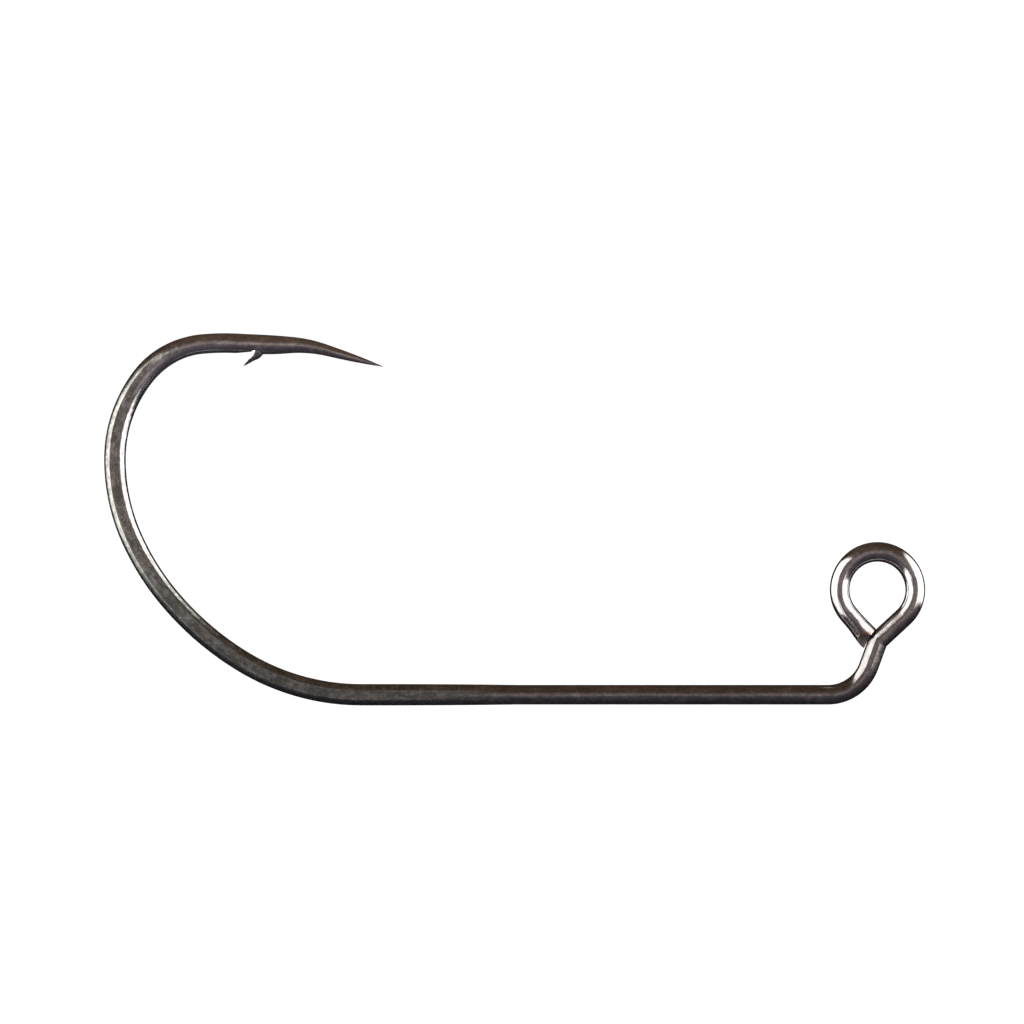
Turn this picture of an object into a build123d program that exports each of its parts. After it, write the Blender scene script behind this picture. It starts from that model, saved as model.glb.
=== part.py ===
from build123d import *
import math
import os

# Bare jig hook: one continuous piece of hardened, plated steel wire (millimetres).
# The hook lies in the XZ plane, y = 0.
#   origin = centre of the ring eye
#   +X     = from the bend towards the eye, parallel to the straight shank
#   +Z     = up; the point rides above the shank
#   +Y     = across the wire; the two forged flats face -Y and +Y
#
# A pose is (x, z, heading): a place on the centre line and the direction of travel,
# in radians from +X towards +Z. A path is a list of segments, each ("run", length)
# or ("arc", radius, degrees); a positive angle turns left, from +X towards +Z.

# ---- wire and straight shank ------------------------------------------------
WIRE_D = 1.15
WIRE_R = WIRE_D / 2
SHANK_END_X = -2.90      # the neck starts to bend here
ROUND_START_X = -21.14   # bend side of here the wire is forged
FORGE_FULL_X = -29.00    # forging reaches its full depth here
BEND_START_X = -30.15    # shank ends and the bend starts here

# ---- neck, throat and eye, all on the centre line ---------------------------
EYE_R = 2.21
EYE_SWEEP = 267.6
NECK_PATH = [
    ("arc", 2.54, 70.0),     # shank up into the neck
    ("run", 1.41),           # straight neck
    ("arc", 0.68, -27.2),    # short counter-bend below the eye
    ("run", 1.84),           # straight run into the eye
]
EYE_PATH = NECK_PATH + [("arc", EYE_R, EYE_SWEEP)]

# ---- leg that closes the eye ------------------------------------------------
LEG_MAX = 2.20           # length before its end is cut off
LEG_ROUND = 0.55         # round up to here, then spreads
LEG_SPREAD = 1.75        # fully spread from here
LEG_STATIONS = (0.0, LEG_ROUND, 0.80, 1.05, 1.30, 1.55, 1.80, LEG_MAX)
LEG_END_HALF_W = 0.655   # sheared end spreads a little in the hook plane ...
LEG_END_HALF_T = 0.530   # ... and thins a little across it
LEG_END_CROWN = 0.045    # part of that half thickness that is crown
CUT_GAP = 0.025          # clearance from the cut end to the neck
CUT_BAND_W = 3.0         # width of the neck-shaped cutter, across the wire
SHEAR_Z = -2.61          # height where the shear facet leaves the leg's -Y side
SHEAR_ANGLE = 47.6       # slant of the facet, degrees; 0 would face straight down
SHEAR_BOX = 6.0          # side of the facet's cutter
SHEAR_BOX_DEPTH = 3.0

# ---- hook bend --------------------------------------------------------------
# (radius, degrees), turning up and over; a negative angle turns the other way
BEND_ARCS = [
    (13.30, 31.29), (17.39, 19.47), (14.87, 15.08),
    (11.34, 24.38), (7.85, 37.98), (4.92, 46.83),
    (14.89, 8.23), (55.30, -3.04), (7.95, 15.86),
]
POINT_RUN = 3.44         # straight run after the last arc, to the needle tip
# from full forging to the needle tip
BEND_PATH = (
    [("run", FORGE_FULL_X - BEND_START_X)]
    + [("arc", radius, -angle) for radius, angle in BEND_ARCS]
    + [("run", POINT_RUN)]
)

# ---- forging ----------------------------------------------------------------
FORGE_HALF_W = 0.628     # half width in the plane of the hook
FORGE_HALF_T = 0.490     # half thickness over the flats
FLAT_HALF_W = 0.285      # half width of each flat
FLAT_CROWN = 0.0006      # flats are very slightly crowned
FORGE_IN_STEPS = 9
FORGE_IN_POWER = 2.2     # forging deepens fast at first, then levels off
FORGE_OUT_BACK = 14.60   # forging fades out between these two distances
FORGE_OUT_FRONT = 11.20  # from the tip, measured along the wire
FORGE_OUT_STEPS = 5

# ---- needle point -----------------------------------------------------------
ROUND_STEP = 0.6         # station spacing on the round length before the taper
ROUND_MARGIN = 0.3       # those stations stay this far clear of the taper
# (distance back from the tip along the wire, wire radius)
POINT_TAPER = [
    (7.50, 0.575), (7.10, 0.569), (6.63, 0.555), (6.17, 0.531), (5.47, 0.476),
    (5.00, 0.441), (4.50, 0.406), (4.03, 0.371), (3.56, 0.339), (2.60, 0.280),
    (1.87, 0.225), (1.40, 0.181), (0.79, 0.117), (0.30, 0.052), (0.00, 0.012),
]

# ---- barb and the chisel facet behind it ------------------------------------
# u runs along the wire towards the tip, v outwards from the wire's underside
BARB_BACK = 7.46         # barb root, distance back from the tip
# D-shaped sections from the root, inside the wire, to the barb's tip:
# (back u, back v, front u, front v, half width across the wire)
BARB_SECTIONS = [
    (-0.298, -0.290, 0.385, -0.175, 0.400),
    (-0.339, -0.035, 0.280, 0.018, 0.365),
    (-0.450, 0.193, 0.093, 0.228, 0.290),
    (-0.613, 0.368, -0.263, 0.415, 0.190),
    (-0.759, 0.566, -0.584, 0.613, 0.090),
    (-0.852, 0.718, -0.836, 0.726, 0.012),
]
NOTCH_LEN = 1.10
NOTCH_DEPTH = 0.165      # at the barb's root
NOTCH_END_U = -0.320     # where the facet meets the barb
NOTCH_HALF_W = 0.9       # cutter half width, wider than the wire
NOTCH_TOP_V = 0.3        # cutter reaches this far outside the wire

FUSE_TOL = 1e-4


# ---- centre line ------------------------------------------------------------
def advance(pose, segment):
    """Pose at the end of a segment that starts at the given pose."""
    x, z, heading = pose
    if segment[0] == "run":
        length = segment[1]
        return (x + length * math.cos(heading), z + length * math.sin(heading), heading)
    radius, angle = segment[1:]
    end_heading = heading + math.radians(angle)
    signed_radius = math.copysign(radius, angle)
    return (
        x + signed_radius * (math.sin(end_heading) - math.sin(heading)),
        z - signed_radius * (math.cos(end_heading) - math.cos(heading)),
        end_heading,
    )


def follow(pose, path):
    """Pose at the end of a path."""
    for segment in path:
        pose = advance(pose, segment)
    return pose


def shorten(segment, fraction):
    """The first part of a segment: its length or angle is scaled."""
    return segment[:-1] + (segment[-1] * fraction,)


def segment_length(segment):
    if segment[0] == "run":
        return segment[1]
    return segment[1] * math.radians(abs(segment[2]))


def cut_path(path, length):
    """The first part of a path, up to a length along it."""
    kept = []
    left = length
    for segment in path:
        if left <= 1e-6:
            break
        full = segment_length(segment)
        fraction = min(1.0, left / full)
        kept.append(shorten(segment, fraction))
        left -= full * fraction
    return kept


# The eye side is first laid out from a shank at z = 0; the shift then brings the
# eye's centre to the origin.
eye_x, eye_z, eye_heading = follow((SHANK_END_X, 0.0, 0.0), NECK_PATH)
SHIFT_X = -(eye_x - EYE_R * math.sin(eye_heading))
SHANK_Z = -(eye_z + EYE_R * math.cos(eye_heading))

NECK_START = (SHANK_END_X, SHANK_Z, 0.0)
EYE_END = follow(NECK_START, EYE_PATH)
BEND_START = (FORGE_FULL_X, SHANK_Z, math.pi)
BEND_LENGTH = sum(segment_length(segment) for segment in BEND_PATH)
FORGED_PATH = cut_path(BEND_PATH, BEND_LENGTH - FORGE_OUT_BACK)


def place(x, z):
    """Centre-line coordinates to a point in the hook's frame."""
    return Vector(x + SHIFT_X, 0, z)


def path_wire(pose, path):
    """Exact lines and arcs along a path."""
    edges = []
    for segment in path:
        end = advance(pose, segment)
        if segment[0] == "run":
            edges.append(Edge.make_line(place(*pose[:2]), place(*end[:2])))
        else:
            inner = advance(pose, shorten(segment, 2 / 3))
            edges.append(Edge.make_three_point_arc(
                place(*pose[:2]), place(*inner[:2]), place(*end[:2])))
        pose = end
    return Wire(edges)


def bend_pose(back):
    """Pose on the bend at a distance back from the needle tip."""
    return follow(BEND_START, cut_path(BEND_PATH, BEND_LENGTH - back))


# ---- cross sections ---------------------------------------------------------
def mix(start, end, amount):
    return start + (end - start) * amount


def ease(fraction):
    """Smooth step from 0 to 1."""
    return fraction * fraction * (3.0 - 2.0 * fraction)


def section_plane(pose):
    """Plane square to the wire: local x = in-plane normal, local y = -Y."""
    x, z, heading = pose
    return Plane(
        origin=place(x, z),
        x_dir=Vector(-math.sin(heading), 0, math.cos(heading)),
        z_dir=Vector(math.cos(heading), 0, math.sin(heading)),
    )


def section(pose, half_w, half_t, flat, crown):
    """Four-arc outline: two nearly flat sides and two rounded edges."""
    plane = section_plane(pose)
    outline = [
        (-flat, half_t), (0, half_t + crown),
        (flat, half_t), (half_w, 0),
        (flat, -half_t), (0, -half_t - crown),
        (-flat, -half_t), (-half_w, 0),
        (-flat, half_t),
    ]
    points = [plane.from_local_coords(Vector(u, v, 0)) for u, v in outline]
    return Face(Wire([
        Edge.make_three_point_arc(*points[i:i + 3]) for i in range(0, 8, 2)
    ]))


def round_section(pose, radius):
    flat = FLAT_HALF_W * radius / WIRE_R
    half_t = math.sqrt(radius * radius - flat * flat)
    return section(pose, radius, half_t, flat, radius - half_t)


def blend_section(pose, half_w, half_t, crown, amount):
    """Amount 0 is the round wire, 1 has the given half width, half thickness and crown."""
    round_half_t = math.sqrt(WIRE_R * WIRE_R - FLAT_HALF_W ** 2)
    return section(
        pose,
        mix(WIRE_R, half_w, amount),
        mix(round_half_t, half_t, amount),
        FLAT_HALF_W,
        mix(WIRE_R - round_half_t, crown, amount),
    )


def forged_section(pose, amount):
    return blend_section(pose, FORGE_HALF_W, FORGE_HALF_T, FLAT_CROWN, amount)


def leg_section(distance):
    """Round wire that spreads smoothly towards its sheared end."""
    fraction = (distance - LEG_ROUND) / (LEG_SPREAD - LEG_ROUND)
    return blend_section(
        advance(EYE_END, ("run", distance)),
        LEG_END_HALF_W,
        LEG_END_HALF_T - LEG_END_CROWN,
        LEG_END_CROWN,
        ease(min(1.0, max(0.0, fraction))),
    )


def loft_sections(faces):
    return Solid.make_loft([face.outer_wire() for face in faces])


# ---- lengths of wire --------------------------------------------------------
def make_shank():
    """Straight round shank."""
    return Solid.make_cylinder(
        WIRE_R, SHANK_END_X - ROUND_START_X,
        Plane(origin=place(ROUND_START_X, SHANK_Z), z_dir=(1, 0, 0)))


def make_eye():
    """Neck, throat and ring eye."""
    profile = Face(Wire(Edge.make_circle(WIRE_R, section_plane(NECK_START))))
    return sweep(profile, path=path_wire(NECK_START, EYE_PATH))


def make_leg():
    """Leg that closes the eye, with its sheared end."""
    leg = loft_sections([leg_section(distance) for distance in LEG_STATIONS])

    # The end face follows the neck's outline in the hook plane, CUT_GAP clear of it.
    band = Face(Wire.make_rect(
        2 * (WIRE_R + CUT_GAP), CUT_BAND_W, section_plane(NECK_START)))
    leg = leg - sweep(band, path=path_wire(NECK_START, NECK_PATH))

    # One slanting facet faces -Y and down.
    slant = math.radians(SHEAR_ANGLE)
    facet = Plane(
        origin=(SHIFT_X + EYE_END[0], -LEG_END_HALF_T, SHEAR_Z),
        x_dir=(1, 0, 0),
        z_dir=(0, -math.sin(slant), -math.cos(slant)),
    )
    corner = facet.from_local_coords((-SHEAR_BOX / 2, -SHEAR_BOX / 2, 0.0))
    return leg - Solid.make_box(
        SHEAR_BOX, SHEAR_BOX, SHEAR_BOX_DEPTH,
        Plane(origin=corner, x_dir=(1, 0, 0), z_dir=facet.z_dir))


def make_forge_in():
    """Straight shank where the forging deepens."""
    sections = []
    for i in range(FORGE_IN_STEPS + 1):
        fraction = i / FORGE_IN_STEPS
        x = mix(ROUND_START_X, FORGE_FULL_X, fraction)
        amount = 1.0 - (1.0 - fraction) ** FORGE_IN_POWER
        sections.append(forged_section((x, SHANK_Z, math.pi), amount))
    return loft_sections(sections)


def make_forged_bend():
    """Fully forged length, stopping FORGE_OUT_BACK from the tip."""
    return sweep(forged_section(BEND_START, 1.0), path=path_wire(BEND_START, FORGED_PATH))


def make_point():
    """Forging run-out, round length and needle point."""
    sections = []
    for i in range(FORGE_OUT_STEPS + 1):
        fraction = i / FORGE_OUT_STEPS
        back = mix(FORGE_OUT_BACK, FORGE_OUT_FRONT, fraction)
        sections.append(forged_section(bend_pose(back), 1.0 - ease(fraction)))
    back = FORGE_OUT_FRONT - ROUND_STEP
    while back > POINT_TAPER[0][0] + ROUND_MARGIN:
        sections.append(round_section(bend_pose(back), WIRE_R))
        back -= ROUND_STEP
    for back, radius in POINT_TAPER:
        sections.append(round_section(bend_pose(back), radius))
    return loft_sections(sections)


# ---- barb and chisel facet --------------------------------------------------
def barb_point(u, v, y=0.0):
    x, z, heading = bend_pose(BARB_BACK)
    along = Vector(math.cos(heading), 0, math.sin(heading))
    outward = Vector(math.sin(heading), 0, -math.cos(heading))
    return place(x, z) + along * u + outward * (WIRE_R + v) + Vector(0, y, 0)


def make_barb():
    """Barb with a flat back and a rounded front."""
    wires = []
    for back_u, back_v, front_u, front_v, half_w in BARB_SECTIONS:
        low = barb_point(back_u, back_v, -half_w)
        high = barb_point(back_u, back_v, half_w)
        front = barb_point(front_u, front_v)
        wires.append(Wire([
            Edge.make_line(low, high),
            Edge.make_three_point_arc(high, front, low),
        ]))
    return Solid.make_loft(wires)


def make_notch():
    """Cutter for the chisel facet behind the barb."""
    start_u = NOTCH_END_U - NOTCH_LEN
    outline = [
        (NOTCH_END_U, -NOTCH_DEPTH),
        (start_u, 0.0),
        (start_u, NOTCH_TOP_V),
        (NOTCH_END_U, NOTCH_TOP_V),
    ]
    points = [barb_point(u, v, -NOTCH_HALF_W) for u, v in outline]
    return Solid.extrude(
        Face(Wire.make_polygon(points, close=True)), Vector(0, 2 * NOTCH_HALF_W, 0))


# ---- one piece of wire ------------------------------------------------------
def make_hook():
    hook = make_shank()
    for make_length in (make_eye, make_leg, make_forge_in, make_forged_bend, make_point):
        hook = hook.fuse(make_length(), tol=FUSE_TOL)
    hook = hook - make_notch()
    hook = hook.fuse(make_barb(), tol=FUSE_TOL)

    # Unwrap a fuse result that holds a single solid.
    solids = hook.solids()
    if len(solids) == 1:
        hook = Solid(solids[0].wrapped)
    hook.label = "jig_hook"
    return hook


os.makedirs("parts", exist_ok=True)
export_step(make_hook(), "parts/jig_hook.step")
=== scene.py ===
"""A jig hook in black-nickel plated wire, on a pale floor under soft light panels.

The hook lies in the XZ plane, with the centre of its eye at the origin. The shank
runs below the eye towards -X, and the bend rises from its far end and turns back
over it to a needle point. The camera looks along +Y. Hook dimensions are in
millimetres and degrees; the scene is in metres.
"""
import math
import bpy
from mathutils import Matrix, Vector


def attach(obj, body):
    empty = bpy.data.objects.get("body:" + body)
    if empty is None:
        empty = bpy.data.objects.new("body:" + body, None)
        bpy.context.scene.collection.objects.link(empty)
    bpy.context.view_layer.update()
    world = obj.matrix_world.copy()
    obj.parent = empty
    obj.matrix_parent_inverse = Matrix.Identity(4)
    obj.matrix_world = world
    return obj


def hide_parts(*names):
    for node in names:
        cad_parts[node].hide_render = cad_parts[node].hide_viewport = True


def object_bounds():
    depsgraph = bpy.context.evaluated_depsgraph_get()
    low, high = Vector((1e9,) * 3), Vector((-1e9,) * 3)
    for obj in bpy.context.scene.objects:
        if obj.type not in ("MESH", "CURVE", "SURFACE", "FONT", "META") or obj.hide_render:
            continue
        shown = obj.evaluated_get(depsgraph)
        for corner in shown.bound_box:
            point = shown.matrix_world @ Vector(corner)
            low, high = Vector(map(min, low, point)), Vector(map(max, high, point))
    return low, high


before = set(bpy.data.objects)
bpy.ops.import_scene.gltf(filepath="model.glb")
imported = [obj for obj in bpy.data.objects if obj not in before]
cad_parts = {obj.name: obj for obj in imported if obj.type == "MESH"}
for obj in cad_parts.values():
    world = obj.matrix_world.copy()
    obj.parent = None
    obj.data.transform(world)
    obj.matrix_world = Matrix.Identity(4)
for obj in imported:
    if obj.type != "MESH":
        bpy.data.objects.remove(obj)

from types import SimpleNamespace

import bmesh
import bpy
import numpy as np
from mathutils import Vector
from mathutils.kdtree import KDTree

MM = 0.001

# ---------------------------------------------------------------------------
# Driving dimensions
# ---------------------------------------------------------------------------
WIRE_R = 0.575

# centre line; X values here are laid out before the eye is moved to the origin
SHANK_END_X = -2.90
NECK_BEND_R, NECK_BEND_DEG, NECK_RUN = 2.54, 70.0, 1.41
THROAT_BEND_R, THROAT_BEND_DEG, THROAT_RUN = 0.68, 27.2, 1.84
EYE_R, EYE_SWEEP_DEG = 2.21, 267.6
ROUND_START_X, FORGE_FULL_X, BEND_START_X = -21.14, -29.00, -30.15
# (radius, angle) of each arc, from the shank to the point
BEND_ARCS = [(13.30, 31.29), (17.39, 19.47), (14.87, 15.08), (11.34, 24.38), (7.85, 37.98),
             (4.92, 46.83), (14.89, 8.23), (55.30, -3.04), (7.95, 15.86)]
POINT_RUN = 3.44
LINE_STEP = 0.01

# the leg, the short straight end beyond the eye
LEG_MAX, LEG_ROUND, LEG_FULL = 2.20, 0.55, 1.75
LEG_END_HALF_W, LEG_END_HALF_T, LEG_END_CROWN = 0.655, 0.530, 0.045
LEG_RINGS = 26
CUT_GAP = 0.025                     # between the cut end and the neck
SHEAR_Z, SHEAR_DEG = -2.61, 47.6
RIM_R, RIM_RINGS = 0.028, 5         # rolled rim of the sheared end

# forged flats; the last two are distances back from the tip
FORGE_HALF_W, FORGE_HALF_T, FLAT_HALF_W, FLAT_CROWN = 0.628, 0.490, 0.285, 0.0006
FORGE_EASE = 2.2
FORGE_OUT_BACK, FORGE_OUT_FRONT = 14.60, 11.20

# (distance back from the tip, radius)
POINT_TAPER = [(7.50, 0.575), (7.10, 0.569), (6.63, 0.555), (6.17, 0.531), (5.47, 0.476),
               (5.00, 0.441), (4.50, 0.406), (4.03, 0.371), (3.56, 0.339), (2.60, 0.280),
               (1.87, 0.225), (1.40, 0.181), (0.79, 0.117), (0.30, 0.052), (0.00, 0.012)]

# Barb frame: u runs towards the tip, v out of the wire's surface on the inside of
# the bend. Columns: back edge u, v; front edge u, v; half width across the wire.
BARB_AT = 7.46                      # back from the tip
BARB_SECTIONS = [(-0.298, -0.290, 0.385, -0.175, 0.400),
                 (-0.339, -0.035, 0.280, 0.018, 0.365),
                 (-0.450, 0.193, 0.093, 0.228, 0.290),
                 (-0.613, 0.368, -0.263, 0.415, 0.190),
                 (-0.759, 0.566, -0.584, 0.613, 0.090),
                 (-0.852, 0.718, -0.836, 0.726, 0.012)]
BARB_MIN_HALF_W = 0.008
BARB_ROWS, BARB_BACK_POINTS, BARB_FRONT_POINTS = 40, 10, 26

# chisel facet behind the barb, in the barb frame
NOTCH_LEN, NOTCH_DEPTH, NOTCH_END_U = 1.10, 0.165, -0.320
NOTCH_START_U = NOTCH_END_U - NOTCH_LEN
NOTCH_REACH_V = 0.4
NOTCH_LIP = 0.001                   # half the length of the step at the facet's end

# segments of one flat, one side and the whole outline
N_FLAT, N_SIDE = 12, 30
N = 2 * (N_FLAT + N_SIDE)


def smoothstep(q):
    return q * q * (3 - 2 * q)


def hermite(x, xs, ys, slopes):
    """Cubic through the points (xs, ys) with the given slopes."""
    i = int(np.clip(np.searchsorted(xs, x) - 1, 0, len(xs) - 2))
    h = xs[i + 1] - xs[i]
    t = (x - xs[i]) / h
    return (ys[i] * (1 + 2 * t) * (1 - t) ** 2 + h * slopes[i] * t * (1 - t) ** 2
            + ys[i + 1] * t * t * (3 - 2 * t) - h * slopes[i + 1] * t * t * (1 - t))


def monotone_slopes(xs, ys):
    chords = np.diff(ys) / np.diff(xs)
    before, after = chords[:-1], chords[1:]
    inner = np.where(before * after > 0, 2 * before * after / (before + after + 1e-12), 0)
    return np.concatenate([chords[:1], inner, chords[-1:]])


def central_slopes(xs, ys):
    chords = np.diff(ys) / np.diff(xs)
    return np.concatenate([chords[:1], (ys[2:] - ys[:-2]) / (xs[2:] - xs[:-2]), chords[-1:]])


# ---------------------------------------------------------------------------
# Centre line: (x, z, heading) samples in the hook's plane
# ---------------------------------------------------------------------------
def add_run(points, length):
    x, z, heading = points[-1]
    n = max(1, int(math.ceil(length / LINE_STEP)))
    for i in range(1, n + 1):
        d = length * i / n
        points.append((x + d * math.cos(heading), z + d * math.sin(heading), heading))


def add_arc(points, radius, degrees):
    """Positive angles turn from +X towards +Z."""
    x, z, heading = points[-1]
    angle = math.radians(degrees)
    curvature = (1.0 if angle > 0 else -1.0) / radius
    n = max(2, int(math.ceil(abs(angle) * radius / LINE_STEP)))
    for i in range(1, n + 1):
        turned = heading + angle * i / n
        points.append((x + (math.sin(turned) - math.sin(heading)) / curvature,
                       z - (math.cos(turned) - math.cos(heading)) / curvature, turned))


def lay_eye_side():
    """The neck, from the shank up to the eye, and the eye, round to the leg."""
    neck = [(SHANK_END_X, 0.0, 0.0)]
    add_arc(neck, NECK_BEND_R, NECK_BEND_DEG)
    add_run(neck, NECK_RUN)
    add_arc(neck, THROAT_BEND_R, -THROAT_BEND_DEG)
    add_run(neck, THROAT_RUN)
    x, z, heading = neck[-1]
    eye_x = x - EYE_R * math.sin(heading)
    eye_z = z + EYE_R * math.cos(heading)
    neck = [(x - eye_x, z - eye_z, heading) for x, z, heading in neck]
    eye = [neck[-1]]
    add_arc(eye, EYE_R, EYE_SWEEP_DEG)
    return neck, eye


def lay_bend_side(x, z):
    """From the neck's start, along the shank and round to the needle tip."""
    points = [(x, z, math.pi)]
    add_run(points, SHANK_END_X - BEND_START_X)
    for radius, degrees in BEND_ARCS:
        add_arc(points, radius, -degrees)
    add_run(points, POINT_RUN)
    return points


def flipped(points):
    return [(x, z, heading + math.pi) for x, z, heading in reversed(points)]


class Line:
    """A sampled centre line, looked up by arc length."""

    def __init__(self, points):
        self.points = np.array(points)
        steps = np.hypot(*np.diff(self.points[:, :2], axis=0).T)
        self.lengths = np.concatenate([[0.0], np.cumsum(steps)])
        self.length = self.lengths[-1]

    def at(self, where):
        where = np.asarray(where, float)
        return np.stack([np.interp(where, self.lengths, self.points[:, i]) for i in range(3)], -1)


NECK, EYE = lay_eye_side()
WIRE = Line(flipped(EYE) + flipped(NECK)[1:] + lay_bend_side(*NECK[0][:2])[1:])

# arc lengths along the wire, from where the eye meets the leg
AT_EYE_END = Line(EYE).length
AT_THROAT = AT_EYE_END + THROAT_RUN
AT_THROAT_END = AT_THROAT + THROAT_BEND_R * math.radians(THROAT_BEND_DEG)
AT_SHANK = AT_EYE_END + Line(NECK).length
AT_ROUND_END = AT_SHANK + (SHANK_END_X - ROUND_START_X)
AT_FORGE_FULL = AT_SHANK + (SHANK_END_X - FORGE_FULL_X)
AT_TIP = WIRE.length
AT_BARB = AT_TIP - BARB_AT
AT_NOTCH_END = AT_BARB + NOTCH_END_U

# ---------------------------------------------------------------------------
# Cross sections: (N, 2) outlines. u lies in the hook's plane, positive on the
# outside of the bend, and v lies across it.
# ---------------------------------------------------------------------------
def four_arcs(half_w, half_t, crown, flat=FLAT_HALF_W):
    """Two crowned flats and two sides, starting at (-flat, +half_t)."""
    flat_r = (flat * flat + crown * crown) / (2 * crown)
    turn = math.asin(min(1.0, flat / flat_r))
    a = np.linspace(-turn, turn, N_FLAT + 1)[:-1]
    top = np.stack([flat_r * np.sin(a), half_t + crown - flat_r + flat_r * np.cos(a)], -1)
    bulge = half_w - flat
    side_r = (half_t * half_t + bulge * bulge) / (2 * bulge)
    centre = half_w - side_r
    turn = math.atan2(half_t, flat - centre)
    a = np.linspace(turn, -turn, N_SIDE + 1)[:-1]
    side = np.stack([centre + side_r * np.cos(a), side_r * np.sin(a)], -1)
    return np.concatenate([top, side, -top, -side])


def round_outline(radius):
    flat = FLAT_HALF_W * radius / WIRE_R
    half_t = math.sqrt(radius * radius - flat * flat)
    return four_arcs(radius, half_t, radius - half_t, flat)


# (half width, half thickness, crown)
ROUND_HALF_T = math.sqrt(WIRE_R ** 2 - FLAT_HALF_W ** 2)
ROUND_SHAPE = np.array([WIRE_R, ROUND_HALF_T, WIRE_R - ROUND_HALF_T])
FORGED_SHAPE = np.array([FORGE_HALF_W, FORGE_HALF_T, FLAT_CROWN])
LEG_END_SHAPE = np.array([LEG_END_HALF_W, LEG_END_HALF_T - LEG_END_CROWN, LEG_END_CROWN])


def flattened_outline(shape, amount):
    """Between the round wire (0) and the given shape (1)."""
    return four_arcs(*(ROUND_SHAPE + (shape - ROUND_SHAPE) * amount))


def leg_outline(along):
    q = min(1.0, max(0.0, (along - LEG_ROUND) / (LEG_FULL - LEG_ROUND)))
    return flattened_outline(LEG_END_SHAPE, smoothstep(q))


def forged_amount(where):
    """0 on the round wire, 1 where the flats are fully forged; takes numbers or arrays."""
    back = AT_TIP - where
    q_in = np.clip((where - AT_ROUND_END) / (AT_FORGE_FULL - AT_ROUND_END), 0, 1)
    q_out = np.clip((FORGE_OUT_BACK - back) / (FORGE_OUT_BACK - FORGE_OUT_FRONT), 0, 1)
    return np.minimum(1 - (1 - q_in) ** FORGE_EASE, 1 - smoothstep(q_out))


TAPER_BACK, TAPER_R = np.array(POINT_TAPER[::-1]).T
TAPER_SLOPES = monotone_slopes(TAPER_BACK, TAPER_R)


def wire_outline(where):
    back = AT_TIP - where
    if where > AT_ROUND_END and back >= FORGE_OUT_FRONT:
        return flattened_outline(FORGED_SHAPE, forged_amount(where))
    if back >= POINT_TAPER[0][0]:
        return round_outline(WIRE_R)
    return round_outline(float(hermite(back, TAPER_BACK, TAPER_R, TAPER_SLOPES)))


# ---------------------------------------------------------------------------
# The leg and its sheared end
# ---------------------------------------------------------------------------
LEG_X, LEG_Z, LEG_HEADING = EYE[-1]
LEG_DIR = np.array([math.cos(LEG_HEADING), math.sin(LEG_HEADING)])
LEG_SIDE = np.array([-math.sin(LEG_HEADING), math.cos(LEG_HEADING)])
SHEAR_TAN = math.tan(math.radians(SHEAR_DEG))


def search_neck(u):
    """How far along the leg a generator at in-plane offset u runs before the neck."""
    along = np.linspace(0.5, LEG_MAX + 0.4, 2400)
    points = np.array([LEG_X, LEG_Z]) + along[:, None] * LEG_DIR + u * LEG_SIDE
    neck = np.array(NECK)[::4, :2]
    nearest = np.sqrt(((points[:, None, :] - neck[None]) ** 2).sum(-1)).min(1)
    hit = np.nonzero(nearest <= WIRE_R + CUT_GAP)[0]
    return along[hit[0]] if len(hit) else LEG_MAX


REACH_U = np.linspace(-LEG_END_HALF_W - 0.02, LEG_END_HALF_W + 0.02, 41)
REACH = np.array([search_neck(u) for u in REACH_U])


def neck_reach(u):
    return np.interp(u, REACH_U, REACH)


def leg_end(u, v):
    """Distance along the leg to its end: the neck-following face or the slanting shear."""
    z = SHEAR_Z - SHEAR_TAN * (v + LEG_END_HALF_T)
    return np.minimum(neck_reach(u), (z - LEG_Z - u * LEG_SIDE[1]) / LEG_DIR[1])


def leg_point(along, uv):
    x = LEG_X + along * LEG_DIR[0] + uv[:, 0] * LEG_SIDE[0]
    z = LEG_Z + along * LEG_DIR[1] + uv[:, 0] * LEG_SIDE[1]
    return np.stack([x, uv[:, 1], z], -1)


def leg_position(points):
    """Wire position of points on the leg, which is negative there."""
    return -((points[:, 0] - LEG_X) * LEG_DIR[0] + (points[:, 2] - LEG_Z) * LEG_DIR[1])


def leg_rings():
    """Rings from the sheared end to the eye, and the outline of the end face."""
    end_uv = leg_outline(LEG_FULL)
    out = end_uv / np.hypot(end_uv[:, 0], end_uv[:, 1])[:, None]
    rings, rim_uv = [], []
    for angle in np.radians(np.linspace(90, 0, RIM_RINGS)):
        uv = end_uv - out * RIM_R * (1 - math.cos(angle))
        rings.append(leg_point(leg_end(*uv.T) - RIM_R * (1 - math.sin(angle)), uv))
        rim_uv.append(uv)
    length = leg_end(*end_uv.T) - RIM_R
    for j in range(1, LEG_RINGS + 1):
        along = length * (1 - j / LEG_RINGS)
        uv = np.array([leg_outline(along[k])[k] for k in range(N)])
        rings.append(leg_point(along, uv))
    # The leg is laid out from the eye outwards, so its in-plane direction is
    # mirrored, (u, v) -> (-u, v), to line up with the rest of the wire.
    mirror = (N_FLAT - np.arange(N)) % N
    return [ring[mirror] for ring in rings], rim_uv[0][mirror]


# ---------------------------------------------------------------------------
# Barb frame
# ---------------------------------------------------------------------------
BARB_X, BARB_Z, BARB_HEADING = WIRE.at(AT_BARB)
BARB_ALONG = np.array([math.cos(BARB_HEADING), 0.0, math.sin(BARB_HEADING)])
BARB_OUT = np.array([math.sin(BARB_HEADING), 0.0, -math.cos(BARB_HEADING)])
BARB_ORIGIN = np.array([BARB_X, 0.0, BARB_Z]) + BARB_OUT * WIRE_R


def in_barb_frame(points):
    offset = points - BARB_ORIGIN
    return offset @ BARB_ALONG, offset @ BARB_OUT


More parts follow.
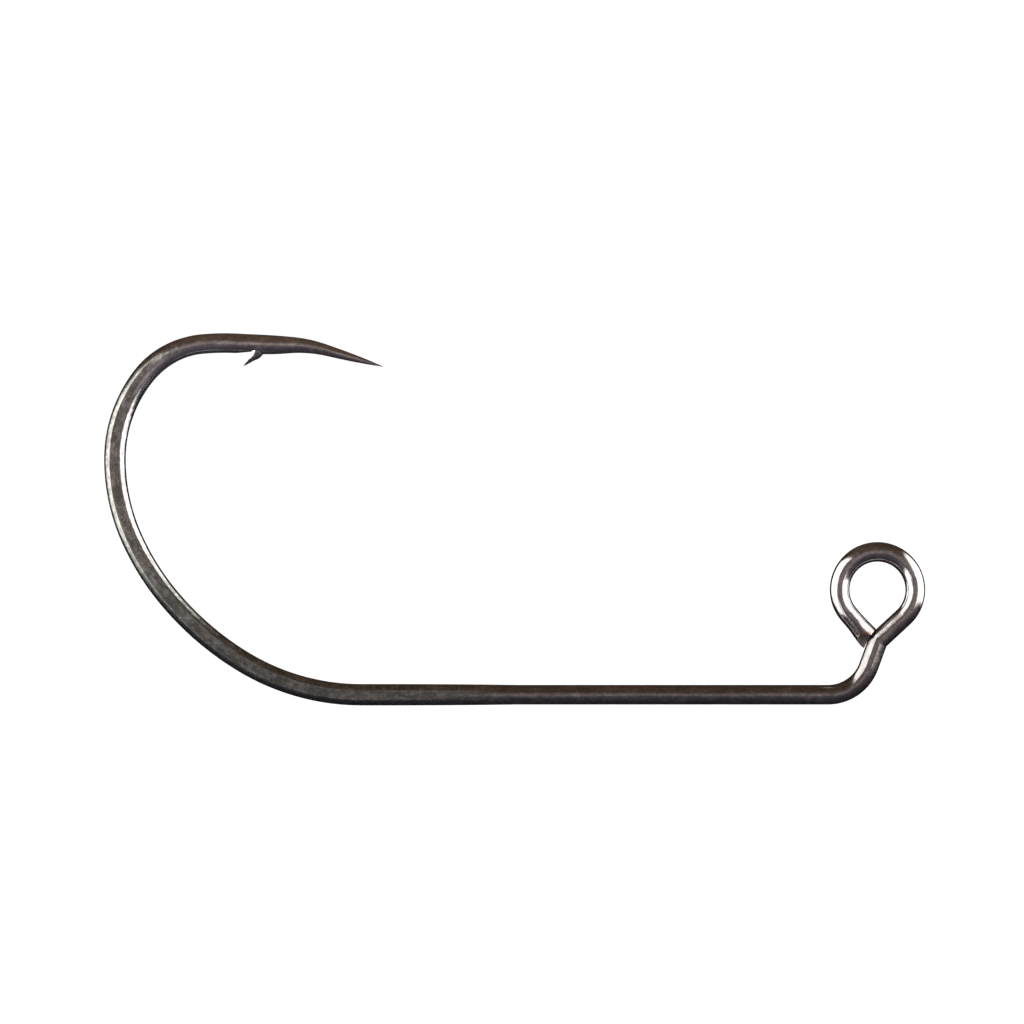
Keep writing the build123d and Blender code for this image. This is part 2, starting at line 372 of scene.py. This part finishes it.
def notch_floor(u):
    return -NOTCH_DEPTH * (u - NOTCH_START_U) / NOTCH_LEN


# ---------------------------------------------------------------------------
# Meshes
# ---------------------------------------------------------------------------
def new_mesh(name, verts, faces):
    """A linked mesh object; vertices in metres."""
    mesh = bpy.data.meshes.new(name)
    mesh.from_pydata([tuple(v) for v in verts], [], faces)
    mesh.validate(verbose=False)
    mesh.update()
    ob = bpy.data.objects.new(name, mesh)
    bpy.context.scene.collection.objects.link(ob)
    return ob


def loft_faces(rows, size):
    faces = []
    for i in range(rows - 1):
        a, b = i * size, (i + 1) * size
        for k in range(size):
            k2 = (k + 1) % size
            faces.append((a + k, a + k2, b + k2, b + k))
    return faces


def wire_stations():
    """Ring positions along the wire, from (end of span, step)."""
    spans = [(AT_EYE_END, 0.07), (AT_THROAT, 0.10), (AT_THROAT_END, 0.025),
             (AT_THROAT_END + NECK_RUN, 0.10), (AT_SHANK, 0.08), (AT_ROUND_END, 0.25),
             (AT_FORGE_FULL, 0.12), (AT_TIP - FORGE_OUT_BACK, 0.09),
             (AT_NOTCH_END - NOTCH_LEN - 0.05, 0.08), (AT_NOTCH_END - NOTCH_LIP, 0.028),
             (AT_NOTCH_END + NOTCH_LIP, 2 * NOTCH_LIP), (AT_BARB + 0.55, 0.03),
             (AT_TIP - 0.8, 0.06), (AT_TIP - 0.02, 0.03)]
    stations = [0.0]
    for end, step in spans:
        start = stations[-1]
        n = max(1, int(round((end - start) / step)))
        stations += [start + (end - start) * i / n for i in range(1, n + 1)]
    return stations[1:]                 # the leg's last ring stands at 0


def wire_ring(where):
    x, z, heading = WIRE.at(where)
    u, v = wire_outline(where).T
    return np.stack([x - np.sin(heading) * u, v, z + np.cos(heading) * u], -1)


def cut_notch(rings):
    """Press the rings behind the barb down to the chisel facet."""
    for ring in rings:
        u, v = in_barb_frame(ring)
        floor = notch_floor(u)
        cut = ((u > NOTCH_START_U) & (u <= NOTCH_END_U) & (v > floor)
               & (np.abs(v) < NOTCH_REACH_V))
        ring[cut] += ((floor - v)[cut])[:, None] * BARB_OUT


def end_cap(cap_uv, first_free):
    """Extra vertices and faces that close the sheared end.

    Columns run straight across the wire, each with a vertex where the slanting
    facet meets the face that follows the neck."""
    first = N_FLAT + N_SIDE // 2
    last = first + N // 2
    columns, extra = [], []
    for k in range(first, last + 1):
        if k in (first, last):
            columns.append([k])
            continue
        u, v = cap_uv[k]
        edge = abs(v)
        z = LEG_Z + neck_reach(u) * LEG_DIR[1] + u * LEG_SIDE[1]
        seam = -LEG_END_HALF_T + (SHEAR_Z - z) / SHEAR_TAN
        seam = min(edge - 0.002, max(-edge + 0.002, seam))
        across = [-edge + (seam + edge) * j / 4 for j in (1, 2, 3, 4)]
        across += [seam + (edge - seam) * j / 4 for j in (1, 2, 3)]
        column = [k]
        for v in across:
            column.append(first_free + len(extra))
            extra.append(leg_point(float(leg_end(u, v)), np.array([[u, v]]))[0])
        column.append((N // 2 + N_FLAT - k) % N)
        columns.append(column)
    faces = []
    for a, b in zip(columns[:-1], columns[1:]):
        if len(a) == 1:
            faces += [(a[0], b[j], b[j + 1]) for j in range(len(b) - 1)]
        elif len(b) == 1:
            faces += [(b[0], a[j + 1], a[j]) for j in range(len(a) - 1)]
        else:
            faces += [(a[j], b[j], b[j + 1], a[j + 1]) for j in range(len(a) - 1)]
    return np.array(extra), faces


def build_wire():
    """The wire, its vertices in mm and the position of each along the wire."""
    leg, cap_uv = leg_rings()
    stations = wire_stations()
    rings = leg + [wire_ring(where) for where in stations]
    cut_notch(rings)
    verts = np.concatenate(rings)
    faces = loft_faces(len(rings), N)
    extra, cap_faces = end_cap(cap_uv, len(verts))
    faces += cap_faces
    # the needle tip closes on a single vertex
    x, z, _ = WIRE.at(AT_TIP)
    last = len(verts) - N
    verts = np.concatenate([verts, extra, [[x, 0.0, z]]])
    faces += [(last + k, last + (k + 1) % N, len(verts) - 1) for k in range(N)]
    positions = np.concatenate([leg_position(ring) for ring in leg]
                               + [np.full(N, where) for where in stations]
                               + [leg_position(extra), [AT_TIP]])
    return new_mesh("hook_wire", verts * MM, faces), verts, positions


def barb_ring(back, front, half_w):
    """D-shaped section: a straight back edge and an arc through the front point."""
    depth = front - back
    sag = float(np.hypot(*depth))
    radius = (half_w * half_w + sag * sag) / (2 * sag)
    axis = depth / sag
    centre = sag - radius
    turn = math.atan2(half_w, -centre)
    ring = [(back, half_w - 2 * half_w * i / BARB_BACK_POINTS) for i in range(BARB_BACK_POINTS)]
    for i in range(BARB_FRONT_POINTS):
        a = -turn + 2 * turn * i / BARB_FRONT_POINTS
        ring.append((back + axis * (centre + radius * math.cos(a)), radius * math.sin(a)))
    return [BARB_ORIGIN + BARB_ALONG * uv[0] + BARB_OUT * uv[1] + np.array([0, y, 0])
            for uv, y in ring]


def build_barb():
    """Tongue lofted through the barb sections with a smooth curve."""
    sections = np.array(BARB_SECTIONS)
    middle = (sections[:, 0:2] + sections[:, 2:4]) / 2
    along = np.concatenate([[0], np.cumsum(np.hypot(*np.diff(middle, axis=0).T))])
    verts = []
    for where in np.linspace(0, along[-1], BARB_ROWS):
        row = [hermite(where, along, column, central_slopes(along, column))
               for column in sections.T]
        verts += barb_ring(np.array(row[0:2]), np.array(row[2:4]), max(row[4], BARB_MIN_HALF_W))
    size = BARB_BACK_POINTS + BARB_FRONT_POINTS
    faces = loft_faces(BARB_ROWS, size)
    faces.append(tuple(reversed(range(size))))
    faces.append(tuple(range((BARB_ROWS - 1) * size, BARB_ROWS * size)))
    return new_mesh("barb_tongue", np.array(verts) * MM, faces)


def face_outward(ob):
    bm = bmesh.new()
    bm.from_mesh(ob.data)
    bmesh.ops.recalc_face_normals(bm, faces=bm.faces)
    bm.to_mesh(ob.data)
    bm.free()


def join_barb(wire, barb):
    face_outward(wire)
    face_outward(barb)
    union = wire.modifiers.new("join", "BOOLEAN")
    union.operation = "UNION"
    union.solver = "EXACT"
    union.object = barb
    depsgraph = bpy.context.evaluated_depsgraph_get()
    joined = bpy.data.meshes.new_from_object(wire.evaluated_get(depsgraph))
    wire.modifiers.clear()
    wire.data = joined
    bpy.data.objects.remove(barb)


# ---------------------------------------------------------------------------
# Attributes the material reads
# ---------------------------------------------------------------------------
def straighten(points, wire_verts, positions):
    """(along, in-plane) coordinates of points on the wire, and which lie on the leg."""
    tree = KDTree(len(wire_verts))
    for i, vert in enumerate(wire_verts):
        tree.insert(Vector(vert), i)
    tree.balance()
    along = positions[np.array([tree.find(Vector(p))[1] for p in points])]
    on_leg = along < -1e-6
    x, z, heading = WIRE.at(np.maximum(along, 0)).T
    x = np.where(on_leg, LEG_X - along * LEG_DIR[0], x)
    z = np.where(on_leg, LEG_Z - along * LEG_DIR[1], z)
    heading = np.where(on_leg, LEG_HEADING + math.pi, heading)
    dx, dz = points[:, 0] - x, points[:, 2] - z
    along = along + dx * np.cos(heading) + dz * np.sin(heading)
    return along, -dx * np.sin(heading) + dz * np.cos(heading), on_leg


def add_attribute(mesh, name, values):
    vector = values.ndim == 2
    attribute = mesh.attributes.new(name, "FLOAT_VECTOR" if vector else "FLOAT", "POINT")
    attribute.data.foreach_set("vector" if vector else "value",
                               values.astype(np.float32).ravel())


def mark_surface(mesh, wire_verts, positions):
    points = np.zeros(len(mesh.vertices) * 3, np.float32)
    mesh.vertices.foreach_get("co", points)
    points = points.reshape(-1, 3).astype(float) / MM
    across = points[:, 1]
    along, inplane, on_leg = straighten(points, wire_verts, positions)
    add_attribute(mesh, "wire_co", np.stack([along, inplane, across], -1))
    add_attribute(mesh, "forged", forged_amount(along))

    # distance from the sheared end, 9 mm where it does not matter
    from_end = np.where(on_leg & (along < -0.6), along + leg_end(-inplane, across), 9.0)
    add_attribute(mesh, "from_end", np.clip(from_end, 0, 9))
    add_attribute(mesh, "sheared", np.clip(1 - (from_end - 0.004) / 0.03, 0, 1))

    # the chisel facet and the barb
    u, v = in_barb_frame(points)
    facet = ((u > NOTCH_START_U + 0.05) & (u < NOTCH_END_U + 0.01)
             & (np.abs(v - notch_floor(u)) < 0.012) & (np.abs(across) < 0.45))
    tongue = (u > -1.4) & (u < 0.9) & (v > 0.012) & (v < 1.2)
    add_attribute(mesh, "chiselled", facet | tongue)


# ---------------------------------------------------------------------------
# Shader graphs
# ---------------------------------------------------------------------------
class Graph:
    """Node tree of a material or world, built from short calls."""

    def __init__(self, owner):
        owner.use_nodes = True
        self.tree = owner.node_tree
        self.tree.nodes.clear()

    def add(self, kind, inputs=None, **settings):
        """Inputs may be values or the output sockets of other nodes."""
        node = self.tree.nodes.new(kind)
        for key, value in settings.items():
            setattr(node, key, value)
        for key, value in (inputs or {}).items():
            if isinstance(value, bpy.types.NodeSocket):
                self.tree.links.new(value, node.inputs[key])
            else:
                node.inputs[key].default_value = value
        return node

    def math(self, operation, *values):
        return self.add("ShaderNodeMath", dict(enumerate(values)), operation=operation).outputs[0]

    def mul(self, a, b):
        return self.math("MULTIPLY", a, b)

    def vector(self, operation, *values):
        return self.add("ShaderNodeVectorMath", dict(enumerate(values)),
                        operation=operation).outputs[0]

    def scale(self, vector, factor):
        return self.add("ShaderNodeVectorMath", {0: vector, "Scale": factor},
                        operation="SCALE").outputs[0]

    def split(self, vector):
        return self.add("ShaderNodeSeparateXYZ", {0: vector}).outputs

    def ramp(self, value, over, to=(0.0, 1.0), kind="SMOOTHSTEP"):
        """Carries the range `over` onto the range `to`."""
        return self.add("ShaderNodeMapRange", dict(enumerate((value, *over, *to))),
                        interpolation_type=kind).outputs[0]

    def blend(self, amount, base, top):
        return self.add("ShaderNodeMix", {0: amount, 6: base, 7: top},
                        data_type="RGBA").outputs[2]

    def texture(self, vector, detail, roughness, scale=1.0, stretch=None, shift=None):
        """Noise over a vector that is first stretched, then shifted."""
        if stretch:
            vector = self.vector("MULTIPLY", vector, stretch)
        if shift:
            vector = self.vector("ADD", vector, shift)
        return self.add("ShaderNodeTexNoise", {"Vector": vector, "Scale": scale, "Detail": detail,
                                               "Roughness": roughness},
                        noise_dimensions="3D").outputs["Fac"]

    def attribute(self, name, output="Fac"):
        return self.add("ShaderNodeAttribute", attribute_name=name).outputs[output]

    def accumulate(self, total, terms):
        """Adds or subtracts (operation, layer, weight) terms."""
        for operation, layer, weight in terms:
            total = self.math(operation, total, self.mul(layer, weight))
        return total


# ---------------------------------------------------------------------------
# Material: black-nickel plated, polished wire
# ---------------------------------------------------------------------------
def surface_marks(g):
    """The masks and noises shared by colour, roughness and relief."""
    m = SimpleNamespace()
    m.forged = g.attribute("forged")
    m.sheared = g.attribute("sheared")
    m.chiselled = g.attribute("chiselled")
    wire_co = g.attribute("wire_co", "Vector")
    m.inplane = g.split(wire_co)[1]

    def noise(**settings):
        return g.texture(wire_co, **settings)

    # lines left by drawing the wire, and lines rolled into the forged flats
    m.drawn = noise(stretch=(0.30, 7.0, 7.0), detail=3.0, roughness=0.55)
    m.drawn_fine = noise(stretch=(0.9, 26.0, 26.0), detail=2.0, roughness=0.6)
    m.rolled = noise(stretch=(0.22, 5.5, 5.5), shift=(5.0, 9.0, 2.0), detail=2.0, roughness=0.5)
    # plating: orange peel, soft clouds, mottling, grain
    m.peel = noise(scale=2.6, detail=2.0, roughness=0.5)
    m.cloud = noise(scale=0.55, detail=3.0, roughness=0.6)
    m.patch = noise(scale=1.3, shift=(31.0, 7.0, 3.0), detail=3.0, roughness=0.6)
    m.mottle = noise(stretch=(1.1, 3.0, 3.0), detail=2.0, roughness=0.55)
    m.grain = noise(stretch=(3.6, 5.0, 5.0), shift=(11.0, 4.0, 23.0), detail=2.0, roughness=0.65)
    m.broad = noise(stretch=(0.85, 1.6, 1.6), shift=(2.0, 14.0, 8.0), detail=2.0, roughness=0.5)
    # chisel marks on the fresh-cut faces run across the wire
    m.chisel = noise(stretch=(22.0, 22.0, 1.5), detail=2.0, roughness=0.6)

    # pits, in some of the cells only
    cells = g.add("ShaderNodeTexVoronoi", {"Vector": wire_co, "Scale": 3.1},
                  feature="F1", distance="EUCLIDEAN")
    pick = g.add("ShaderNodeSeparateColor", {0: cells.outputs["Color"]}).outputs[0]
    m.pit = g.mul(g.ramp(cells.outputs["Distance"], over=(0.05, 0.13), to=(1.0, 0.0)),
                  g.ramp(pick, over=(0.45, 0.60)))

    # fine handling scratches in three directions: (rotation, shift)
    m.scratch = None
    for rotation, shift in (((0.3, 0.9, 0.5), 3.0), ((1.2, -0.6, -0.8), 17.0),
                            ((-0.7, 0.2, 1.1), 41.0)):
        turned = g.add("ShaderNodeVectorRotate", {"Vector": wire_co, "Rotation": rotation},
                       rotation_type="EULER_XYZ").outputs[0]
        lines = g.ramp(g.texture(turned, stretch=(0.8, 17.0, 17.0), shift=(shift,) * 3,
                                 detail=1.0, roughness=0.4), over=(0.71, 0.80))
        m.scratch = g.math("MAXIMUM", m.scratch, lines) if m.scratch else lines

    # the long edges of the forged flats are burnished
    from_edge = g.math("ABSOLUTE", g.math("SUBTRACT", g.math("ABSOLUTE", m.inplane), FLAT_HALF_W))
    m.edge = g.mul(m.forged, g.ramp(from_edge, over=(0.0, 0.045), to=(1.0, 0.0)))
    return m


def plating_tone(g, m):
    """Black nickel, browner and bluer in patches."""
    mul, ramp = g.mul, g.ramp
    tone = g.blend(ramp(m.cloud, over=(0.35, 0.65)),
                   (0.375, 0.372, 0.385, 1), (0.425, 0.395, 0.37, 1))
    uneven = g.math("ADD", 0.60, mul(m.forged, 0.55))      # stronger on the forged flats
    # (amount, colour), each laid over the ones before
    layers = (
        # pale patches, dark mottling, dark drawing lines
        (mul(ramp(m.patch, over=(0.50, 0.68)), 0.80), (0.60, 0.57, 0.555, 1)),
        (mul(ramp(m.mottle, over=(0.42, 0.62)), 0.50), (0.30, 0.285, 0.28, 1)),
        (mul(ramp(m.drawn, over=(0.45, 0.66)), 0.55), (0.24, 0.225, 0.215, 1)),
        # broad dark areas, light grain, dark grain
        (mul(uneven, ramp(m.broad, over=(0.46, 0.62), to=(0.0, 0.55))), (0.22, 0.21, 0.20, 1)),
        (mul(uneven, ramp(m.grain, over=(0.50, 0.66), to=(0.0, 0.55))), (0.62, 0.59, 0.57, 1)),
        (mul(uneven, ramp(m.grain, over=(0.48, 0.34), to=(0.0, 0.50))), (0.20, 0.19, 0.185, 1)),
        # burnished edges, scratches, pits, chisel marks
        (mul(m.edge, 0.40), (0.56, 0.54, 0.52, 1)),
        (mul(m.scratch, 0.30), (0.52, 0.50, 0.48, 1)),
        (mul(m.pit, 0.55), (0.18, 0.16, 0.15, 1)),
        (mul(m.chiselled, ramp(m.chisel, over=(0.35, 0.7), to=(0.0, 0.45))),
         (0.24, 0.22, 0.21, 1)),
    )
    for amount, colour in layers:
        tone = g.blend(amount, tone, colour)
    return tone


def placed_tone(g, m, tone):
    """Changes of tone that depend on the place on the hook, painted shade and painted light among
    them; X and Z are in metres.
    """
    mul, ramp = g.mul, g.ramp
    x, _, z = g.split(g.add("ShaderNodeNewGeometry").outputs["Position"])
    # painted shade darkens the forged wire except on the inside of the bend; the wire is
    # cooler low on the bend; painted light makes it lighter towards the top of the hook
    painted_shade_forged = mul(m.forged, ramp(m.inplane, over=(-0.34, -0.24)))
    lower = mul(m.forged, ramp(z, over=(-0.001, 0.004), to=(1.0, 0.0)))
    tint = g.blend(lower, g.blend(painted_shade_forged, (1, 1, 1, 1), (0.985, 1.015, 0.965, 1)),
                   (0.95, 1.055, 1.015, 1))
    # painted light: lighter higher up the hook, and lighter again over the top of the bend
    height = ramp(z, over=(-0.005, 0.002), to=(1.0, 1.35), kind="LINEAR")
    painted_light_top = ramp(z, over=(0.0110, 0.0140), to=(1.0, 1.28))
    # painted light: a little lighter low on the outside of the forged bend
    painted_light_low_outside = mul(mul(m.forged, ramp(m.inplane, over=(0.26, 0.34))),
                      ramp(z, over=(-0.0035, 0.0002), to=(1.0, 0.0)))
    # painted shade on the forged wire and painted light low on the outside of the bend, in one
    # factor
    painted_shade_and_light = g.accumulate(1.0, (("SUBTRACT", painted_shade_forged, 0.36), ("SUBTRACT", painted_light_low_outside, -0.10)))
    tone = g.vector("MULTIPLY", tone, g.scale(tint, mul(mul(height, painted_light_top), painted_shade_and_light)))
    # painted glint: a pale reflection streak inside the top of the bend
    painted_glint = mul(mul(ramp(z, over=(0.0105, 0.0125)), ramp(m.inplane, over=(-0.06, -0.24))),
                 mul(ramp(x, over=(-0.0372, -0.0392)),
                     ramp(m.grain, over=(0.30, 0.50), to=(0.6, 1.0))))
    tone = g.blend(mul(painted_glint, 0.75), tone, (0.84, 0.835, 0.84, 1))
    tone = g.vector("MINIMUM", tone, (0.90, 0.90, 0.90))
    # brown stain near the sheared end, dull steel on its face
    stain = mul(ramp(g.attribute("from_end"), over=(0.05, 0.40), to=(0.85, 0.0)),
                ramp(m.patch, over=(0.25, 0.60)))
    tone = g.blend(stain, tone, (0.40, 0.26, 0.17, 1))
    return g.blend(mul(m.sheared, 0.75), tone, (0.36, 0.33, 0.34, 1))


def plated_wire_material():
    material = bpy.data.materials.new("black_nickel_wire")
    g = Graph(material)
    m = surface_marks(g)
    base_roughness = 0.085
    outside = g.mul(m.forged, g.ramp(m.inplane, over=(0.10, 0.40)))
    roughness = g.accumulate(base_roughness, (
        ("ADD", m.drawn_fine, 0.07), ("ADD", g.ramp(m.patch, over=(0.40, 0.70)), 0.05),
        ("ADD", m.forged, 0.03), ("ADD", outside, 0.08), ("ADD", m.scratch, 0.06),
        ("ADD", m.pit, 0.12), ("ADD", m.chiselled, 0.10), ("ADD", m.sheared, 0.22)))
    # relief, in thousandths of a millimetre
    peel_height = 4.5
    relief = g.accumulate(g.mul(m.peel, peel_height), (
        ("ADD", m.drawn, 1.6), ("ADD", m.drawn_fine, 0.35),
        ("ADD", g.mul(m.forged, m.rolled), 5.0),
        ("SUBTRACT", m.scratch, 0.5), ("SUBTRACT", m.pit, 0.5),
        ("ADD", g.mul(m.chiselled, m.chisel), 4.0), ("ADD", g.mul(m.sheared, m.chisel), 6.0)))
    bump = g.add("ShaderNodeBump", {"Strength": 1.0, "Distance": 1e-6, "Height": relief})
    bsdf = g.add("ShaderNodeBsdfPrincipled", {
        "Base Color": placed_tone(g, m, plating_tone(g, m)), "Metallic": 1.0,
        "Roughness": roughness, "Normal": bump.outputs["Normal"]})
    g.add("ShaderNodeOutputMaterial", {"Surface": bsdf.outputs["BSDF"]})
    return material


def build_hook():
    hook, wire_verts, positions = build_wire()
    join_barb(hook, build_barb())
    hook.name = hook.data.name = "jig_hook_plated_wire"
    mesh = hook.data
    for polygon in mesh.polygons:
        polygon.use_smooth = True
    mesh.set_sharp_from_angle(angle=math.radians(38))
    mark_surface(mesh, wire_verts, positions)
    mesh.materials.clear()
    mesh.materials.append(plated_wire_material())
    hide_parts("jig_hook")
    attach(hook, "root")


# ---------------------------------------------------------------------------
# Stage: pale floor, surround, camera and panels (metres unless noted)
# ---------------------------------------------------------------------------
FLOOR_HALF, FLOOR_DROP, FLOOR_CELLS = 3.0, 0.034, 8

LENS, SENSOR_WIDTH = 100.0, 36.0
FRAME_WIDTH_MM = 59.8016            # seen across the frame, at the hook's plane
CAMERA_DIST_MM = FRAME_WIDTH_MM * LENS / SENSOR_WIDTH
CAMERA_X_MM, CAMERA_Z_MM = -21.3452, 4.53768

# Reflected surround: (height from 0 below to 1 above, 8-bit sRGB colour), on the
# camera's side of the hook and beyond the hook
NEAR_SURROUND = [(0.00, (45, 42, 47)), (0.10, (48, 45, 50)), (0.21, (56, 52, 57)),
                 (0.33, (70, 65, 69)), (0.50, (101, 94, 94)), (0.66, (82, 73, 70)),
                 (0.76, (64, 55, 50)), (0.90, (60, 49, 42)), (1.00, (63, 52, 44))]
FAR_SURROUND = [(0.0, (34, 32, 36)), (0.5, (30, 27, 27)), (1.0, (56, 46, 39))]
SURROUND_DIVISOR = 0.40             # the linear colours are divided by this

# Light fields: (end, radiance, cuts). Each reaches only the eye end (1) or the
# bend end (-1) of the hook, and each cut (a, b, c, soft) fades it out where
# a * (towards the camera) + b * (up) + c falls from soft to 0.
LEFT_FIELDS = [
    (1, 2.7, [(-1, 0.2, 1.58, 0.45), (0.1, -1, 1.35, 0.2), (0.25, 1, 0.85, 0.25),
              (1, 1.1, 0.87, 0.25), (1, 0, 0.70, 0.25), (1, -2.25, 2.675, 0.5)]),
    (1, 2.2, [(-1, 0, 3.6, 0.8), (1, 0, -0.9, 0.4), (-0.15, 1, -0.88, 0.15),
              (0.25, -1, 0.98, 0.15), (0, -1, 1.70, 0.15)]),
    (1, 1.7, [(1, 0, -1.25, 0.3), (-1, 0, 2.7, 0.6), (0, -1, -0.35, 0.3),
              (0.25, 1, 0.88, 0.25)]),
    (-1, 2.6, [(-1, 0, 3.7, 0.6), (-1, -2.5, 4.7, 0.6), (0, -1, 0.78, 0.2),
               (0.35, -1, 0.55, 0.2), (0, 1, 0.54, 0.2), (1, 0.8, 0.38, 0.25),
               (1, 0, 0.30, 0.3)]),
]
RIGHT_FIELDS = [
    (1, 2.7, [(-1, 0, 2.40, 0.5), (-0.457, -1, 1.32, 0.25), (0, -1, 1.12, 0.3),
              (0.02, 1, 0.37, 0.15), (1, 0, 0.52, 0.22)]),
    (-1, 2.6, [(-1, -0.35, 1.10, 0.35), (0, -1, 1.40, 0.75), (0.25, 1, 0.50, 0.2),
               (1, 0, 0.62, 0.25)]),
]
EYE_END_X = (-0.020, -0.012)        # the bend end passes into the eye end here


def build_floor(z):
    row = FLOOR_CELLS + 1
    ticks = [(i / FLOOR_CELLS * 2 - 1) * FLOOR_HALF for i in range(row)]
    corners = [j * row + i for j in range(FLOOR_CELLS) for i in range(FLOOR_CELLS)]
    floor = new_mesh("studio_floor", [(x, y, z) for y in ticks for x in ticks],
                     [(a, a + 1, a + row + 1, a + row) for a in corners])
    material = bpy.data.materials.new("pale_floor")
    g = Graph(material)
    diffuse = g.add("ShaderNodeBsdfDiffuse", {"Color": (0.86, 0.86, 0.86, 1)})
    glow = g.add("ShaderNodeEmission", {"Color": (1, 1, 1, 1), "Strength": 1.05})
    both = g.add("ShaderNodeAddShader", {0: diffuse.outputs[0], 1: glow.outputs[0]})
    g.add("ShaderNodeOutputMaterial", {"Surface": both.outputs[0]})
    floor.data.materials.append(material)
    floor.visible_glossy = False


def srgb_to_linear(level):
    level = level / 255
    return level / 12.92 if level <= 0.04045 else ((level + 0.055) / 1.055) ** 2.4


def surround_ramp(g, height, stops):
    node = g.add("ShaderNodeValToRGB", {"Fac": height})
    elements = node.color_ramp.elements
    while len(elements) < len(stops):
        elements.new(0.5)
    for element, (position, colour) in zip(elements, stops):
        element.position = position
        element.color = (*[srgb_to_linear(level) / SURROUND_DIVISOR for level in colour], 1)
    node.color_ramp.interpolation = "EASE"
    return node.outputs["Color"]


def build_world():
    """White to the camera; reflections see a surround that travels with the camera."""
    world = bpy.data.worlds.new("studio")
    bpy.context.scene.world = world
    g = Graph(world)
    # camera coordinates: y up, z away from the camera
    _, y, z = g.split(g.add("ShaderNodeTexCoord").outputs["Camera"])
    height = g.ramp(y, over=(-1, 1), to=(0, 1), kind="LINEAR")
    colour = g.blend(g.ramp(z, over=(-0.55, 0.15)), surround_ramp(g, height, NEAR_SURROUND),
                     surround_ramp(g, height, FAR_SURROUND))
    reflected = g.add("ShaderNodeBackground", {"Color": colour})
    seen = g.add("ShaderNodeBackground", {"Color": (1, 1, 1, 1), "Strength": 1.05})
    is_camera = g.add("ShaderNodeLightPath").outputs["Is Camera Ray"]
    mix = g.add("ShaderNodeMixShader",
                {"Fac": is_camera, 1: reflected.outputs[0], 2: seen.outputs[0]})
    g.add("ShaderNodeOutputWorld", {"Surface": mix.outputs[0]})


def build_camera():
    """Square on to the hook's plane."""
    data = bpy.data.cameras.new("camera")
    camera = bpy.data.objects.new("camera", data)
    bpy.context.scene.collection.objects.link(camera)
    data.lens = LENS
    data.sensor_width = SENSOR_WIDTH
    data.clip_start = 0.01
    data.clip_end = 20.0
    camera.location = Vector((CAMERA_X_MM, -CAMERA_DIST_MM, CAMERA_Z_MM)) * MM
    camera.rotation_euler = (math.radians(90), 0, 0)
    bpy.context.scene.camera = camera
    return camera


def panel_material(name, offset, hook_z, fields):
    material = bpy.data.materials.new(name)
    g = Graph(material)
    _, up, depth = g.split(g.add("ShaderNodeTexCoord").outputs["Object"])
    towards = g.math("MULTIPLY_ADD", depth, 1 / offset, -hook_z / offset)
    up = g.mul(up, 1 / offset)
    # the point lit: back along the ray by its length
    geometry = g.add("ShaderNodeNewGeometry").outputs
    ray_length = g.add("ShaderNodeLightPath").outputs["Ray Length"]
    lit = g.vector("ADD", geometry["Position"], g.scale(geometry["Incoming"], ray_length))
    at_eye = g.ramp(g.split(lit)[0], over=EYE_END_X)
    total = None
    for end, radiance, cuts in fields:
        field = g.mul(radiance, at_eye if end > 0 else g.math("SUBTRACT", 1.0, at_eye))
        for a, b, c, soft in cuts:
            inside = g.math("MULTIPLY_ADD", towards, a, g.math("MULTIPLY_ADD", up, b, c))
            field = g.mul(field, g.ramp(inside, over=(0.0, soft)))
        total = g.math("ADD", total, field) if total else field
    glow = g.add("ShaderNodeEmission", {"Strength": total})
    clear = g.add("ShaderNodeBsdfTransparent")
    both = g.add("ShaderNodeAddShader", {0: glow.outputs[0], 1: clear.outputs[0]})
    g.add("ShaderNodeOutputMaterial", {"Surface": both.outputs[0]})
    material.cycles.emission_sampling = "NONE"
    return material


def build_panel(name, camera, side, offset, front, rear, bottom, top, fields):
    """A soft-edged light board to the camera's left (-1) or right (+1).

    It hangs in camera space, offset metres to the side. front and rear are how far
    it reaches towards the camera and beyond the hook; these and bottom and top are
    multiples of the offset."""
    hook_z = -CAMERA_DIST_MM * MM
    x, near, far = side * offset, hook_z + front * offset, hook_z - rear * offset
    low, high = bottom * offset, top * offset
    panel = new_mesh(name, [(x, low, far), (x, low, near), (x, high, near), (x, high, far)],
                     [(0, 1, 2, 3)])
    panel.parent = camera
    panel.data.materials.append(panel_material(name, offset, hook_z, fields))
    panel.visible_camera = False
    panel.visible_diffuse = False
    panel.visible_shadow = False


def box():
    return [list(map(float, corner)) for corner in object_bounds()]


cad_box = box()
build_hook()
build_floor(cad_box[0][2] - FLOOR_DROP)
build_world()
camera = build_camera()
build_panel("panel_left", camera, side=-1, offset=0.5, front=3.9, rear=1.2,
            bottom=-1.2, top=1.85, fields=LEFT_FIELDS)
build_panel("panel_right", camera, side=1, offset=0.4, front=2.8, rear=1.2,
            bottom=-0.9, top=1.5, fields=RIGHT_FIELDS)

scene = bpy.context.scene
scene.view_settings.view_transform = "Standard"
scene.view_settings.look = "None"
